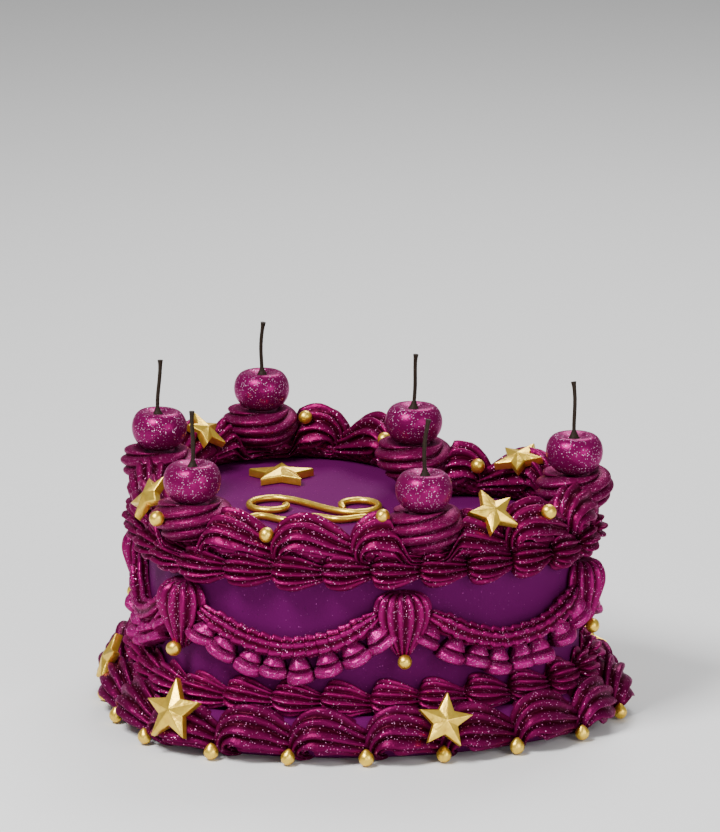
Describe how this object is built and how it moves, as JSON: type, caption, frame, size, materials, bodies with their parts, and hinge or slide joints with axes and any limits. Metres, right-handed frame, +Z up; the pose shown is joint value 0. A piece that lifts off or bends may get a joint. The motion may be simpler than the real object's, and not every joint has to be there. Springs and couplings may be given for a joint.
{
  "type": "heart-shaped iced cake",
  "caption": "Heart-shaped iced cake with piped borders, wall swags, swirls carrying stemmed cherries, gold stars and beads.",
  "frame": {"origin": "middle of the footprint, on the surface that the cake rests on", "axes": "+Z up, -Y towards the rounded tip of the heart, +Y towards its cleft, +X across"},
  "size_m": [0.2048, 0.1817, 0.1209],
  "materials": {
    "iced_cake": "smooth purple icing with sparse fine glitter",
    "piped_icing": "deep magenta-plum piped icing with fine glitter",
    "swirl_icing": "smooth pink-purple piped icing, satin",
    "cherry": "magenta cherry thick with pale glitter",
    "stem": "dark olive-brown dried stem",
    "gold_icing": "satin metallic gold"
  },
  "bodies": {
    "root": {"cake_body": "iced_cake", "cherry_1": "cherry", "cherry_2": "cherry", "cherry_3": "cherry", "cherry_4": "cherry", "cherry_5": "cherry", "cherry_6": "cherry", "flourish_scroll": "gold_icing", "flourish_wave": "gold_icing", "foot_arch_border": "piped_icing", "lower_shell_border": "piped_icing", "pendant_1": "piped_icing", "pendant_2": "piped_icing", "pendant_3": "piped_icing", "pendant_4": "piped_icing", "pendant_5": "piped_icing", "pendant_6": "piped_icing", "star_1": "gold_icing", "star_10": "gold_icing", "star_2": "gold_icing", "star_3": "gold_icing", "star_4": "gold_icing", "star_5": "gold_icing", "star_6": "gold_icing", "star_7": "gold_icing", "star_8": "gold_icing", "star_9": "gold_icing", "stem_1": "stem", "stem_2": "stem", "stem_3": "stem", "stem_4": "stem", "stem_5": "stem", "stem_6": "stem", "swag_1": "piped_icing", "swag_2": "piped_icing", "swag_3": "piped_icing", "swag_4": "piped_icing", "swag_5": "piped_icing", "swag_6": "piped_icing", "swirl_1": "swirl_icing", "swirl_2": "swirl_icing", "swirl_3": "swirl_icing", "swirl_4": "swirl_icing", "swirl_5": "swirl_icing", "swirl_6": "swirl_icing", "upper_arch_border": "piped_icing", "upper_shell_border": "piped_icing"}
  },
  "joints": []
}
